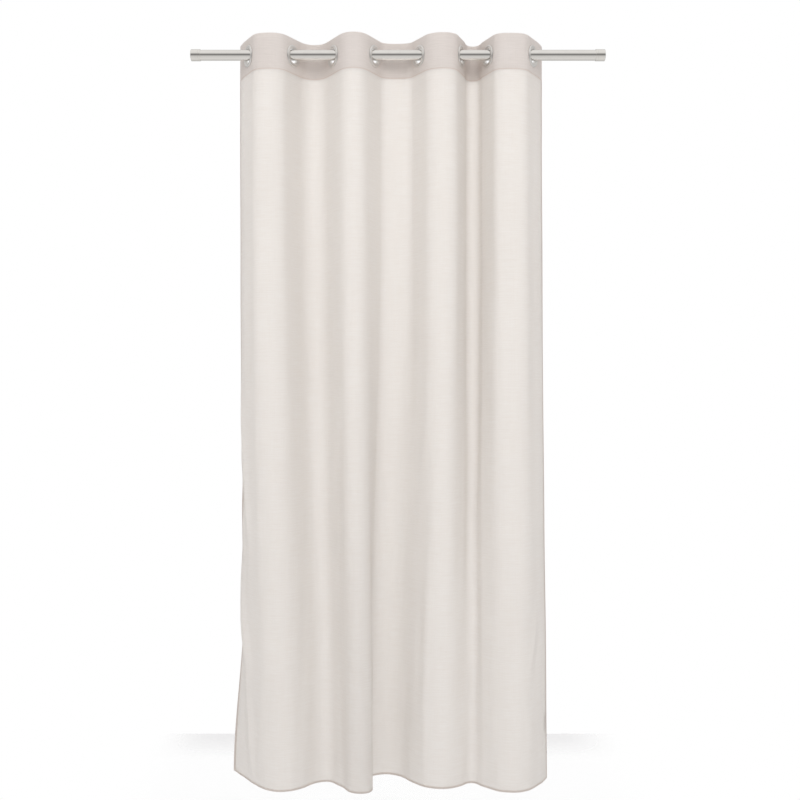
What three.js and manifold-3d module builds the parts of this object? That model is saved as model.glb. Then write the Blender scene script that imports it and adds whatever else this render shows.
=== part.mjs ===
// Eyelet curtain panel hanging on a plain rod with two end caps.
// Millimetres. X runs along the rod, Y away from the viewer, Z up.
// The origin is the middle of the rod, on its axis.
import * as THREE from 'three';
import Module from 'manifold-3d';
import { mergeVertices } from 'three/addons/utils/BufferGeometryUtils.js';

const wasm = await Module();
wasm.setup();

// ---------------------------------------------------------------- sizes

// Gap kept between pieces that touch on the real object.
const FIT_GAP = 0.3;

const ROD = {
  length: 1185, // over both end caps
  radius: 15,
  wall: 1.2,
  sides: 40,
};

const CAP = {
  length: 28,
  radius: 16.5,
  endWall: 4,
  flatRadius: 12, // the flat middle of its outer face
  spigotRadius: 4,
  spigotLength: 12,
  lip: { inset: 0.6, length: 1.4 }, // the eased edge at its open end
  rim: { inset: 1.4, start: 2.6, end: 0.8 }, // the eased edge round its outer face
};

const INSERT = {
  length: 20,
  ribDepth: 0.9,
  ribs: 3,
  ribShare: 0.45, // of each rib's pitch at full size
  valleyShare: 0.6, // of the pitch where the valley starts
  sides: 24,
};

const EYELET = {
  boreRadius: 20.5,
  barrelRadius: 22.2,
  radius: 31,
  height: 5, // from the middle of the header to the crown of either flange
  holeRadius: 23, // cut in the cloth
  cutterLength: 12,
  barrelEnd: 1.6, // past the rear flange's seat
  edge: { inset: 0.4, height: 0.8 }, // the bevel where the flange meets the cloth
  crownInset: 4.6, // from the outer edge to the crown
  boreEdge: { outset: 2, fall: 0.6, depth: 2 }, // the rounding into the bore
  sides: 20,
};

const CLOTH = {
  width: 1400, // flat, side to side
  drop: 2134, // flat, top to bottom
  top: 47.5, // above the rod's axis
  header: 103,
  layer: 1, // thickness of one layer
  stiffener: 0.5,
  stiffenerInset: 1, // from the sides and the top edge
  sideHem: 13,
  bottomHem: 6,
};

const LABEL = {
  width: 30,
  height: 52,
  thickness: 0.5,
  aboveHem: 140,
  fromEdge: 2,
};

// Where each eyelet sits along the rod.
const EYELET_X = [-426.4, -301.2, -184.2, -68.4, 61.2, 179.3, 258.8, 383.8];

// Distance along the cloth from one eyelet to the next, and from the last one to the side edge.
const EYELET_PITCH = 176;
const SIDE_MARGIN = (CLOTH.width - EYELET_PITCH * (EYELET_X.length - 1)) / 2;

// The cloth crosses the rod at these angles, one for each eyelet, and is flat this far
// each side of an eyelet.
const CROSSING_ANGLES = [62, 61, 60, 62, 60, 70, 67, 61].map(THREE.MathUtils.degToRad);
const SEAT = EYELET.radius + 0.5;

// The eyelets hang on top of the rod. Their bore is nearest to it at the middle of a facet,
// and a ring at a slant to the rod rides this much higher than a square one.
const BORE_ACROSS_FACETS = EYELET.boreRadius * Math.cos(Math.PI / EYELET.sides);
const SLANT_LIFT = 1.8;
const EYELET_Z = ROD.radius + FIT_GAP - BORE_ACROSS_FACETS + SLANT_LIFT;

// At the hem the folds have wandered. Each row is one crossing between a front and a back fold:
// its place, the angle of the cloth there, and the cloth used since the crossing before it.
const HEM_CROSSINGS = [
  { x: -405, y: 0, angle: 56, cloth: 150 },
  { x: -256, y: -10, angle: 50, cloth: 192 },
  { x: -164, y: -12, angle: 54, cloth: 124 },
  { x: -84, y: 12, angle: 104, cloth: 192 },
  { x: 58, y: 2, angle: 46, cloth: 242 },
  { x: 174, y: -12, angle: 44, cloth: 134 },
  { x: 248, y: -20, angle: 44, cloth: 102 },
  { x: 393, y: -16, angle: 58, cloth: 176 },
];
const HEM_SEAT = 4;

// The side edges swing back by these angles from the cloth's line at the nearest crossing.
// The left one flares out again over the last stretch above the hem.
const EDGE_TURN = { top: 12, lowLeft: 30, hemLeft: 2, hemRight: 14 };
const FLARE_START = -1560;

// The folds keep their header shape down to here, then change towards the hem.
const FOLD_CHANGE_START = -260;
const FOLD_CHANGE_POWER = 1.4;

const CLOTH_BOTTOM = CLOTH.top - CLOTH.drop;
const HEADER_BOTTOM = CLOTH.top - CLOTH.header;

// ---------------------------------------------------------------- finishes

function finish(color, roughness, metalness) {
  return new THREE.MeshStandardMaterial({ color, roughness, metalness });
}

const finishes = {
  polishedSteel: () => finish(0xc9c6c2, 0.12, 1),
  chromedRing: () => finish(0xd4d2cf, 0.1, 1),
  nylon: () => finish(0x4a4a4c, 0.55, 0),
  cloth: () => finish(0xe8e2da, 0.9, 0),
  tape: () => finish(0xefe9e2, 0.8, 0),
  satin: () => finish(0xf7f5f1, 0.5, 0),
};

// ---------------------------------------------------------------- solids

function toSolid(geometry) {
  const bare = geometry.clone();
  bare.deleteAttribute('normal');
  bare.deleteAttribute('uv');
  const merged = mergeVertices(bare, 1e-4);
  return new wasm.Manifold(new wasm.Mesh({
    numProp: 3,
    vertProperties: new Float32Array(merged.attributes.position.array),
    triVerts: new Uint32Array(merged.index.array),
  }));
}

function toGeometry(solid) {
  const mesh = solid.getMesh();
  const geometry = new THREE.BufferGeometry();
  geometry.setAttribute('position', new THREE.BufferAttribute(mesh.vertProperties, 3));
  geometry.setIndex(new THREE.BufferAttribute(mesh.triVerts, 1));
  geometry.computeVertexNormals();
  return geometry;
}

// A turned piece. Its profile is a list of [radius, height] pairs up the Y axis.
function turned(profile, sides) {
  return new THREE.LatheGeometry(profile.map(([r, h]) => new THREE.Vector2(r, h)), sides);
}

// ---------------------------------------------------------------- the line of the cloth, from above

const FOLD_STEPS = 24;
const EDGE_STEPS = 8;
const SOLVER_STEPS = 16;
const SOLVER_NUDGE = 1e-4;
const LARGEST_CHANGE = 0.3;

// A line of this length whose heading swings from one angle to the other. Bulge makes the fold
// fuller and lean tips it to one side.
function swungLine(a, leaving, arriving, cloth, bulge, lean) {
  const points = [a.clone()];
  for (let i = 0; i < FOLD_STEPS; i += 1) {
    const turn = Math.PI * (i + 0.5) / FOLD_STEPS;
    const swing = leaving + (arriving - leaving) * (1 - Math.cos(turn)) / 2;
    const heading = swing + bulge * Math.sin(2 * turn) + lean * Math.sin(turn);
    const step = new THREE.Vector2(Math.cos(heading), Math.sin(heading));
    points.push(points[i].clone().addScaledVector(step, cloth / FOLD_STEPS));
  }
  return points;
}

// One fold from a to b that uses this much cloth. Newton's method finds its bulge and lean.
function fold(a, leaving, b, arriving, cloth) {
  const lineFor = (bulge, lean) => swungLine(a, leaving, arriving, cloth, bulge, lean);
  const missFor = (bulge, lean) => lineFor(bulge, lean).at(-1).sub(b);
  const limited = (change) => THREE.MathUtils.clamp(change, -LARGEST_CHANGE, LARGEST_CHANGE);
  let bulge = Math.sign(leaving) * LARGEST_CHANGE;
  let lean = 0;
  for (let i = 0; i < SOLVER_STEPS; i += 1) {
    const miss = missFor(bulge, lean);
    const byBulge = missFor(bulge + SOLVER_NUDGE, lean).sub(miss).divideScalar(SOLVER_NUDGE);
    const byLean = missFor(bulge, lean + SOLVER_NUDGE).sub(miss).divideScalar(SOLVER_NUDGE);
    const area = byBulge.cross(byLean);
    bulge -= limited(miss.cross(byLean) / area);
    lean -= limited(byBulge.cross(miss) / area);
  }
  return lineFor(bulge, lean);
}

// A free side edge: the cloth leaves along one angle and bends evenly by the turn given.
function edge(start, angle, turn, cloth) {
  const points = [start.clone()];
  for (let i = 0; i < EDGE_STEPS; i += 1) {
    const heading = angle + turn * ((i + 0.5) / EDGE_STEPS);
    const step = new THREE.Vector2(Math.cos(heading), Math.sin(heading));
    points.push(points[i].clone().addScaledVector(step, cloth / EDGE_STEPS));
  }
  return points;
}

// How far the folds have changed from the header's shape to the hem's at this height, from 0 to 1.
function foldChange(z) {
  const share = THREE.MathUtils.smoothstep(FOLD_CHANGE_START - z, 0, FOLD_CHANGE_START - CLOTH_BOTTOM);
  return share ** FOLD_CHANGE_POWER;
}

// The crossings at this height, with the seat flat on each side of them.
function crossingsAt(z) {
  const change = foldChange(z);
  const mix = (top, hem) => THREE.MathUtils.lerp(top, hem, change);
  let hemAlong = 0;
  const found = HEM_CROSSINGS.map((hem, i) => {
    hemAlong += hem.cloth;
    const side = i % 2 === 0 ? -1 : 1;
    const angle = side * mix(CROSSING_ANGLES[i], THREE.MathUtils.degToRad(hem.angle));
    return {
      at: new THREE.Vector2(mix(EYELET_X[i], hem.x), mix(0, hem.y)),
      angle,
      direction: new THREE.Vector2(Math.cos(angle), Math.sin(angle)),
      along: mix(SIDE_MARGIN + EYELET_PITCH * i, hemAlong),
    };
  });
  return { found, seat: mix(SEAT, HEM_SEAT), mix };
}

// The whole line of the cloth at this height as points, each with the cloth used up to it.
function lineAt(z) {
  const { found, seat, mix } = crossingsAt(z);
  const last = found.length - 1;
  const pieces = [];

  const first = found[0];
  const flare = THREE.MathUtils.smoothstep(FLARE_START - z, 0, FLARE_START - CLOTH_BOTTOM);
  const lowTurn = mix(EDGE_TURN.top, EDGE_TURN.lowLeft);
  const leftTurn = THREE.MathUtils.degToRad(THREE.MathUtils.lerp(lowTurn, EDGE_TURN.hemLeft, flare));
  const leftStart = first.at.clone().addScaledVector(first.direction, -seat);
  const left = edge(leftStart, first.angle + Math.PI, -leftTurn, first.along - seat);
  pieces.push(left.reverse());

  for (let i = 0; i < last; i += 1) {
    const from = found[i];
    const to = found[i + 1];
    const a = from.at.clone().addScaledVector(from.direction, seat);
    const b = to.at.clone().addScaledVector(to.direction, -seat);
    pieces.push(fold(a, from.angle, b, to.angle, to.along - from.along - 2 * seat));
  }

  const end = found[last];
  const rightTurn = THREE.MathUtils.degToRad(mix(EDGE_TURN.top, EDGE_TURN.hemRight));
  const rightStart = end.at.clone().addScaledVector(end.direction, seat);
  pieces.push(edge(rightStart, end.angle, rightTurn, CLOTH.width - end.along - seat));

  const points = pieces.flat();
  const along = [0];
  for (let i = 1; i < points.length; i += 1) {
    along.push(along[i - 1] + points[i].distanceTo(points[i - 1]));
  }
  return { points, along };
}

// The place of a point at this distance along the line and this depth in front of it.
function placeOn(line, distance, depth) {
  const { points, along } = line;
  let i = 1;
  while (i < points.length - 1 && along[i] < distance) {
    i += 1;
  }
  const share = (distance - along[i - 1]) / (along[i] - along[i - 1]);
  const step = points[i].clone().sub(points[i - 1]).normalize();
  const facing = new THREE.Vector2(step.y, -step.x);
  return points[i - 1].clone().lerp(points[i], share).addScaledVector(facing, depth);
}

// The heights where the folds are worked out. Between them every layer runs straight.
const FOLD_ROWS = 9;
const ROW_HEIGHTS = Array.from(
  { length: FOLD_ROWS },
  (_, i) => THREE.MathUtils.lerp(HEADER_BOTTOM, CLOTH_BOTTOM, i / (FOLD_ROWS - 1)),
);
const ROW_LINES = ROW_HEIGHTS.map(lineAt);

// A point of the cloth at a distance along it, a height, and a depth in front of the header's middle.
function clothPoint(distance, z, depth) {
  const rowStep = ROW_HEIGHTS[0] - ROW_HEIGHTS[1];
  const down = Math.max(0, (HEADER_BOTTOM - z) / rowStep);
  const row = Math.min(Math.floor(down), FOLD_ROWS - 2);
  const above = placeOn(ROW_LINES[row], distance, depth);
  const below = placeOn(ROW_LINES[row + 1], distance, depth);
  const at = above.lerp(below, down - row);
  return [at.x, at.y, z];
}

// ---------------------------------------------------------------- cloth solids

// Columns and rows nearer than this to a slab's edge are left out.
const NEAREST = { column: 2, row: 1 };

// Distances along the cloth, closer together where it bends.
function columns(from, to) {
  const stops = [0];
  const bends = [0.24, 0.36, 0.44, 0.5, 0.56, 0.64, 0.76];
  for (let i = 0; i < EYELET_X.length; i += 1) {
    const centre = SIDE_MARGIN + EYELET_PITCH * i;
    stops.push(centre - SEAT, centre + SEAT);
    if (i < EYELET_X.length - 1) {
      bends.forEach((share) => stops.push(centre + EYELET_PITCH * share));
    }
  }
  stops.push(CLOTH.sideHem, CLOTH.width - CLOTH.sideHem, CLOTH.width);
  const inside = stops.filter((s) => s > from + NEAREST.column && s < to - NEAREST.column);
  return [from, ...inside, to].sort((a, b) => a - b);
}

// A closed slab of cloth between two distances along it, two heights and two depths.
// Depth is measured from the middle of the header, positive towards the face of the cloth.
function clothSlab({ from, to, top, bottom, front, back }) {
  const stops = columns(from, to);
  const between = ROW_HEIGHTS.filter((z) => z < top - NEAREST.row && z > bottom + NEAREST.row);
  const heights = [top, ...between, bottom];
  const grid = (depth) => heights.flatMap((z) => stops.map((s) => clothPoint(s, z, depth)));
  const positions = [...grid(front), ...grid(back)];
  const wide = stops.length;
  const rows = heights.length;
  const backOf = wide * rows;
  const faces = [];
  const quad = (a, b, c, d) => faces.push(a, b, c, a, c, d);

  for (let r = 0; r < rows - 1; r += 1) {
    for (let c = 0; c < wide - 1; c += 1) {
      const i = r * wide + c;
      quad(i, i + wide, i + wide + 1, i + 1);
      quad(backOf + i, backOf + i + 1, backOf + i + wide + 1, backOf + i + wide);
    }
  }
  for (let r = 0; r < rows - 1; r += 1) {
    const left = r * wide;
    const right = left + wide - 1;
    quad(left, backOf + left, backOf + left + wide, left + wide);
    quad(right, right + wide, backOf + right + wide, backOf + right);
  }
  for (let c = 0; c < wide - 1; c += 1) {
    const low = (rows - 1) * wide + c;
    quad(c, c + 1, backOf + c + 1, backOf + c);
    quad(low, backOf + low, backOf + low + 1, low + 1);
  }

  const geometry = new THREE.BufferGeometry();
  geometry.setAttribute('position', new THREE.Float32BufferAttribute(positions.flat(), 3));
  geometry.setIndex(faces);
  return geometry;
}

// ---------------------------------------------------------------- pieces

const group = new THREE.Group();

function add(name, geometry, material) {
  const mesh = new THREE.Mesh(geometry, material);
  mesh.name = name;
  group.add(mesh);
  return mesh;
}

// A turned piece whose axis lies along the rod. Positive heights point outwards at that end.
function addOnRod(name, geometry, material, x, side) {
  const mesh = add(name, geometry, material);
  mesh.position.x = x;
  mesh.rotation.z = -side * Math.PI / 2;
  return mesh;
}

function addRod() {
  const half = ROD.length / 2 - CAP.endWall - FIT_GAP;
  const bore = ROD.radius - ROD.wall;
  const profile = [[bore, -half], [ROD.radius, -half], [ROD.radius, half], [bore, half], [bore, -half]];
  addOnRod('rod_tube', turned(profile, ROD.sides), finishes.polishedSteel(), 0, 1);
}

// The cap's heights count back from its outer face, so they are negative.
function addCap(name, side) {
  const bore = ROD.radius + FIT_GAP;
  const profile = [
    [0, -CAP.spigotLength - CAP.endWall],
    [CAP.spigotRadius, -CAP.spigotLength - CAP.endWall],
    [CAP.spigotRadius, -CAP.endWall],
    [bore, -CAP.endWall],
    [bore, -CAP.length],
    [CAP.radius - CAP.lip.inset, -CAP.length],
    [CAP.radius, -CAP.length + CAP.lip.length],
    [CAP.radius, -CAP.rim.start],
    [CAP.radius - CAP.rim.inset, -CAP.rim.end],
    [CAP.flatRadius, 0],
    [0, 0],
  ];
  addOnRod(name, turned(profile, ROD.sides), finishes.polishedSteel(), side * ROD.length / 2, side);
}

function addInsert(name, side) {
  const outer = ROD.radius - ROD.wall - FIT_GAP;
  const valley = outer - INSERT.ribDepth;
  const bore = CAP.spigotRadius + FIT_GAP;
  const near = CAP.endWall + FIT_GAP;
  const pitch = INSERT.length / INSERT.ribs;
  const profile = [[bore, -near]];
  for (let i = 0; i < INSERT.ribs; i += 1) {
    const start = near + pitch * i;
    profile.push([outer, -start], [outer, -start - pitch * INSERT.ribShare]);
    profile.push([valley, -start - pitch * INSERT.valleyShare], [valley, -start - pitch]);
  }
  profile.push([bore, -near - INSERT.length], [bore, -near]);
  const geometry = turned(profile.reverse(), INSERT.sides);
  addOnRod(name, geometry, finishes.nylon(), side * ROD.length / 2, side);
}

// Half of the header's thickness, over its three layers and the gaps between them.
const HEADER_HALF = CLOTH.stiffener / 2 + FIT_GAP + CLOTH.layer;
const FLANGE_FACE = HEADER_HALF + FIT_GAP;

// The face half carries the barrel that passes through the cloth.
function eyeletFrontProfile() {
  const { boreRadius, barrelRadius, barrelEnd, radius, height, edge, crownInset, boreEdge } = EYELET;
  return [
    [boreRadius, -FLANGE_FACE - barrelEnd],
    [barrelRadius, -FLANGE_FACE - barrelEnd],
    [barrelRadius, FLANGE_FACE],
    [radius - edge.inset, FLANGE_FACE],
    [radius, FLANGE_FACE + edge.height],
    [radius - crownInset, height],
    [boreRadius + boreEdge.outset, height - boreEdge.fall],
    [boreRadius, height - boreEdge.depth],
    [boreRadius, -FLANGE_FACE - barrelEnd],
  ];
}

// The rear half snaps over the end of the barrel.
function eyeletBackProfile() {
  const { barrelRadius, radius, height, edge, crownInset, boreEdge } = EYELET;
  const inner = barrelRadius + FIT_GAP;
  return [
    [inner, -FLANGE_FACE],
    [inner, -height + boreEdge.fall],
    [radius - crownInset, -height],
    [radius, -FLANGE_FACE - edge.height],
    [radius - edge.inset, -FLANGE_FACE],
    [inner, -FLANGE_FACE],
  ];
}

// Turns a piece's Y axis to the way the cloth faces at eyelet i.
function placeAtEyelet(object, i) {
  const angle = i % 2 === 0 ? -CROSSING_ANGLES[i] : CROSSING_ANGLES[i];
  const facing = new THREE.Vector3(Math.sin(angle), -Math.cos(angle), 0);
  object.position.set(EYELET_X[i], 0, EYELET_Z);
  object.quaternion.setFromUnitVectors(new THREE.Vector3(0, 1, 0), facing);
  return object;
}

function addEyelets() {
  EYELET_X.forEach((_, i) => {
    const front = add(
      `eyelet_front_${i + 1}`,
      turned(eyeletFrontProfile(), EYELET.sides),
      finishes.chromedRing(),
    );
    const back = add(
      `eyelet_back_${i + 1}`,
      turned(eyeletBackProfile(), EYELET.sides),
      finishes.chromedRing(),
    );
    placeAtEyelet(front, i);
    placeAtEyelet(back, i);
  });
}

// Cuts every eyelet's hole in a slab of cloth.
function withEyeletHoles(slab) {
  let solid = toSolid(slab);
  EYELET_X.forEach((_, i) => {
    const { holeRadius, cutterLength, sides } = EYELET;
    const drill = new THREE.CylinderGeometry(holeRadius, holeRadius, cutterLength, sides);
    const placed = placeAtEyelet(new THREE.Object3D(), i);
    placed.updateMatrix();
    solid = solid.subtract(toSolid(drill.applyMatrix4(placed.matrix)));
  });
  return toGeometry(solid);
}

function addCloth() {
  const face = HEADER_HALF;
  const behindFace = face - CLOTH.layer;
  const hemFront = behindFace - FIT_GAP;
  const hemBack = hemFront - CLOTH.layer;
  const hemTop = CLOTH_BOTTOM + CLOTH.bottomHem;

  const sheet = clothSlab({
    from: 0,
    to: CLOTH.width,
    top: CLOTH.top,
    bottom: CLOTH_BOTTOM,
    front: face,
    back: behindFace,
  });
  add('curtain_cloth', withEyeletHoles(sheet), finishes.cloth());

  const stiffener = clothSlab({
    from: CLOTH.stiffenerInset,
    to: CLOTH.width - CLOTH.stiffenerInset,
    top: CLOTH.top - CLOTH.stiffenerInset,
    bottom: HEADER_BOTTOM,
    front: CLOTH.stiffener / 2,
    back: -CLOTH.stiffener / 2,
  });
  add('header_stiffener', withEyeletHoles(stiffener), finishes.tape());

  const facing = clothSlab({
    from: 0,
    to: CLOTH.width,
    top: CLOTH.top,
    bottom: HEADER_BOTTOM,
    front: -behindFace,
    back: -face,
  });
  add('header_facing', withEyeletHoles(facing), finishes.cloth());

  const sides = { left: 0, right: CLOTH.width - CLOTH.sideHem };
  Object.entries(sides).forEach(([side, from]) => {
    const hem = clothSlab({
      from,
      to: from + CLOTH.sideHem,
      top: HEADER_BOTTOM - FIT_GAP,
      bottom: hemTop + FIT_GAP,
      front: hemFront,
      back: hemBack,
    });
    add(`side_hem_${side}`, hem, finishes.cloth());
  });

  const bottomHem = clothSlab({
    from: 0,
    to: CLOTH.width,
    top: hemTop,
    bottom: CLOTH_BOTTOM,
    front: hemFront,
    back: hemBack,
  });
  add('bottom_hem', bottomHem, finishes.cloth());

  const labelFront = hemBack - FIT_GAP;
  const label = clothSlab({
    from: CLOTH.width - LABEL.width - LABEL.fromEdge,
    to: CLOTH.width - LABEL.fromEdge,
    top: CLOTH_BOTTOM + LABEL.aboveHem + LABEL.height,
    bottom: CLOTH_BOTTOM + LABEL.aboveHem,
    front: labelFront,
    back: labelFront - LABEL.thickness,
  });
  add('care_label', label, finishes.satin());
}

addRod();
addCap('end_cap_left', -1);
addCap('end_cap_right', 1);
addInsert('cap_insert_left', -1);
addInsert('cap_insert_right', 1);
addEyelets();
addCloth();

export default group;
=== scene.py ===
import math

import bpy
import numpy as np
from mathutils import Matrix, Vector, noise


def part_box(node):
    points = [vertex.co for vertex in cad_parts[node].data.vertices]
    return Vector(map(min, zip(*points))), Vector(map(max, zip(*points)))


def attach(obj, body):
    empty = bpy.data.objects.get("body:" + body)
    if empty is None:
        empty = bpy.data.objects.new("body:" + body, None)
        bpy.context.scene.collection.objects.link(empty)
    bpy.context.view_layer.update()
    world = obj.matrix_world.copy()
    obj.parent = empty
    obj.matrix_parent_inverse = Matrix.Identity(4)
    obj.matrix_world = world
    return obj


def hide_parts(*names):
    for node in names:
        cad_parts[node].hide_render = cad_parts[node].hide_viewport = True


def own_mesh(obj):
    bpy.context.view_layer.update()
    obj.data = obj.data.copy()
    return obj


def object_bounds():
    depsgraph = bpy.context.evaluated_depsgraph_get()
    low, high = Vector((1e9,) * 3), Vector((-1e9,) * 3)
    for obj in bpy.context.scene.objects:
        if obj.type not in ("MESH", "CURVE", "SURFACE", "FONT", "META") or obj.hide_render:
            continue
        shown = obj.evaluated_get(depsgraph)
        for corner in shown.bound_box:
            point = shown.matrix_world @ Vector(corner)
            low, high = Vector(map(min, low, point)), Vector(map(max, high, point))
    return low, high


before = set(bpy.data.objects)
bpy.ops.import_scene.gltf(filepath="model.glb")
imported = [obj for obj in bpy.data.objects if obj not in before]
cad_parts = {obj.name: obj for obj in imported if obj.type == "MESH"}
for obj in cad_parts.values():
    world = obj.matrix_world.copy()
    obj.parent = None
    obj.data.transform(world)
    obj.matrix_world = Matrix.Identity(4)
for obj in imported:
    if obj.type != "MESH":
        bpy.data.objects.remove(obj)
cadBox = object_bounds()

mm = 0.001


# small helpers for building node trees

def mathNode(tree, operation, a, b=None, c=None):
    node = tree.nodes.new("ShaderNodeMath")
    node.operation = operation
    for i, value in enumerate((a, b, c)):
        if value is None:
            continue
        if hasattr(value, "is_output"):
            tree.links.new(value, node.inputs[i])
        else:
            node.inputs[i].default_value = value
    return node.outputs[0]


def mixColor(tree, share, first, second):
    node = tree.nodes.new("ShaderNodeMix")
    node.data_type = "RGBA"
    sockets = [s for s in node.inputs if s.type == "RGBA"]
    factor = node.inputs[0]
    if hasattr(share, "is_output"):
        tree.links.new(share, factor)
    else:
        factor.default_value = share
    for socket, value in zip(sockets, (first, second)):
        if hasattr(value, "is_output"):
            tree.links.new(value, socket)
        else:
            socket.default_value = (*value, 1)
    return [s for s in node.outputs if s.type == "RGBA"][0]


def newMaterial(name):
    material = bpy.data.materials.new(name)
    material.use_nodes = True
    return material, material.node_tree, material.node_tree.nodes["Principled BSDF"]


# the camera, lights and floor come first

cameraSetup = {
    "lens": 50,
    "sensor": 36,
    "distance": 3.178,  # in front of the rod
    "along": 0.0057,
    "height": -0.986,  # about the middle of the drop
}

lightSetup = {
    "key": {"at": (-0.3, -4.4, 1.7), "size": 2.6, "power": 48, "color": (1.0, 0.99, 0.98)},
    "fill": {"at": (1.6, -4.4, -0.2), "size": 3.2, "power": 15, "color": (1.0, 0.995, 0.99)},
    "back": {"at": (0.3, 3.4, 0.6), "size": 3.4, "power": 112, "color": (1.0, 0.995, 0.985)},
}

floorSetup = {
    "belowHem": 0.046,
    "middle": -0.035,
    "halfWidth": 0.86,
    "front": -1.2,
    "back": 0.64,
    "color": (0.72, 0.72, 0.725, 1),
    "roughness": 0.8,
    "sideFade": (0.34, 0.46),  # from the middle, as a share of the whole width
    "backFade": (0.84, 1.0),  # from the front edge, as a share of the depth
    "frontFade": (0.1, 0.6),
    "thinnest": 0.07,
}


def aimAt(thing, target):
    toward = Vector(target) - thing.location
    thing.rotation_euler = toward.to_track_quat("-Z", "Y").to_euler()


def makeCamera():
    data = bpy.data.cameras.new("curtainCamera")
    data.lens = cameraSetup["lens"]
    data.sensor_width = cameraSetup["sensor"]
    camera = bpy.data.objects.new("curtainCamera", data)
    bpy.context.collection.objects.link(camera)
    camera.location = (cameraSetup["along"], -cameraSetup["distance"], cameraSetup["height"])
    camera.rotation_euler = (math.pi / 2, 0, 0)
    bpy.context.scene.camera = camera


def makeLights():
    middle = (0, 0, cadBox[0][2] * 0.45)
    for name, setup in lightSetup.items():
        data = bpy.data.lights.new(name + "Light", "AREA")
        data.size = setup["size"]
        data.energy = setup["power"]
        data.color = setup["color"]
        lamp = bpy.data.objects.new(name + "Light", data)
        bpy.context.collection.objects.link(lamp)
        lamp.location = setup["at"]
        lamp.visible_camera = False
        lamp.visible_glossy = False
        aimAt(lamp, middle)


# what polished metal mirrors, from behind and below round to behind and above:
# a pale floor, a dark flag straight ahead and one soft card over it
studioCards = {
    "at": (-1, -0.5, -0.2, 0.0, 0.2, 0.5, 1),
    "level": (0.5, 0.8, 0.7, 0.15, 0.85, 0.9, 0.5),
    "tint": (1.0, 0.985, 0.96),
    "ambient": 0.78,
    "ambientColor": (0.99, 0.99, 1.0),
}


def cardRamp(tree, turn):
    ramp = tree.nodes.new("ShaderNodeValToRGB")
    ramp.color_ramp.interpolation = "LINEAR"
    stops = ramp.color_ramp.elements
    for i, (place, level) in enumerate(zip(studioCards["at"], studioCards["level"])):
        stop = stops[i] if i < 2 else stops.new(1)
        stop.position = (place + 1) / 2
        stop.color = (*[level * c for c in studioCards["tint"]], 1)
    tree.links.new(turn, ramp.inputs[0])
    return ramp.outputs[0]


def ramped(tree, value, low, high, toLow=0.0, toHigh=1.0):
    node = tree.nodes.new("ShaderNodeMapRange")
    node.interpolation_type = "SMOOTHSTEP"
    node.inputs["From Min"].default_value = low
    node.inputs["From Max"].default_value = high
    node.inputs["To Min"].default_value = toLow
    node.inputs["To Max"].default_value = toHigh
    tree.links.new(value, node.inputs["Value"])
    return node.outputs[0]


def studioLight(tree, color, strength):
    node = tree.nodes.new("ShaderNodeBackground")
    if hasattr(color, "is_output"):
        tree.links.new(color, node.inputs["Color"])
    else:
        node.inputs["Color"].default_value = (*color, 1)
    node.inputs["Strength"].default_value = strength
    return node.outputs[0]


def makeWorld():
    world = bpy.data.worlds.new("paleStudio")
    bpy.context.scene.world = world
    world.use_nodes = True
    tree = world.node_tree
    tree.nodes.clear()
    coord = tree.nodes.new("ShaderNodeTexCoord")
    split = tree.nodes.new("ShaderNodeSeparateXYZ")
    tree.links.new(coord.outputs["Generated"], split.inputs[0])
    ahead = mathNode(tree, "MULTIPLY", split.outputs["Y"], -1)
    angle = mathNode(tree, "ARCTAN2", split.outputs["Z"], ahead)
    turn = mathNode(tree, "MULTIPLY_ADD", angle, 0.5 / math.pi, 0.5)
    mirrored = cardRamp(tree, turn)
    path = tree.nodes.new("ShaderNodeLightPath")
    glossy = tree.nodes.new("ShaderNodeMixShader")
    tree.links.new(path.outputs["Is Glossy Ray"], glossy.inputs[0])
    ambient = studioLight(tree, studioCards["ambientColor"], studioCards["ambient"])
    tree.links.new(ambient, glossy.inputs[1])
    tree.links.new(studioLight(tree, mirrored, 1.0), glossy.inputs[2])
    final = tree.nodes.new("ShaderNodeMixShader")
    tree.links.new(path.outputs["Is Camera Ray"], final.inputs[0])
    tree.links.new(glossy.outputs[0], final.inputs[1])
    tree.links.new(studioLight(tree, (1, 1, 1), 1.0), final.inputs[2])
    out = tree.nodes.new("ShaderNodeOutputWorld")
    tree.links.new(final.outputs[0], out.inputs[0])


def makeFloor():
    level = cadBox[0][2] - floorSetup["belowHem"]
    left = floorSetup["middle"] - floorSetup["halfWidth"]
    right = floorSetup["middle"] + floorSetup["halfWidth"]
    corners = [
        (left, floorSetup["front"], level),
        (right, floorSetup["front"], level),
        (right, floorSetup["back"], level),
        (left, floorSetup["back"], level),
    ]
    mesh = bpy.data.meshes.new("paleFloor")
    mesh.from_pydata(corners, [], [(0, 1, 2, 3)])
    floor = bpy.data.objects.new("paleFloor", mesh)
    bpy.context.collection.objects.link(floor)
    material, tree, shader = newMaterial("floorPaper")
    shader.inputs["Base Color"].default_value = floorSetup["color"]
    shader.inputs["Roughness"].default_value = floorSetup["roughness"]
    # the paper is plain at the back and fades out forward and to both sides
    coord = tree.nodes.new("ShaderNodeTexCoord")
    split = tree.nodes.new("ShaderNodeSeparateXYZ")
    tree.links.new(coord.outputs["Generated"], split.inputs[0])
    sideways = mathNode(tree, "ABSOLUTE", mathNode(tree, "SUBTRACT", split.outputs["X"], 0.5))
    sideFade = ramped(tree, sideways, *floorSetup["sideFade"], 1, 0)
    backFade = ramped(tree, split.outputs["Y"], *floorSetup["backFade"], floorSetup["thinnest"], 1)
    frontFade = ramped(tree, split.outputs["Y"], *floorSetup["frontFade"])
    along = mathNode(tree, "MULTIPLY", backFade, frontFade)
    tree.links.new(mathNode(tree, "MULTIPLY", sideFade, along), shader.inputs["Alpha"])
    floor.data.materials.append(material)


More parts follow.
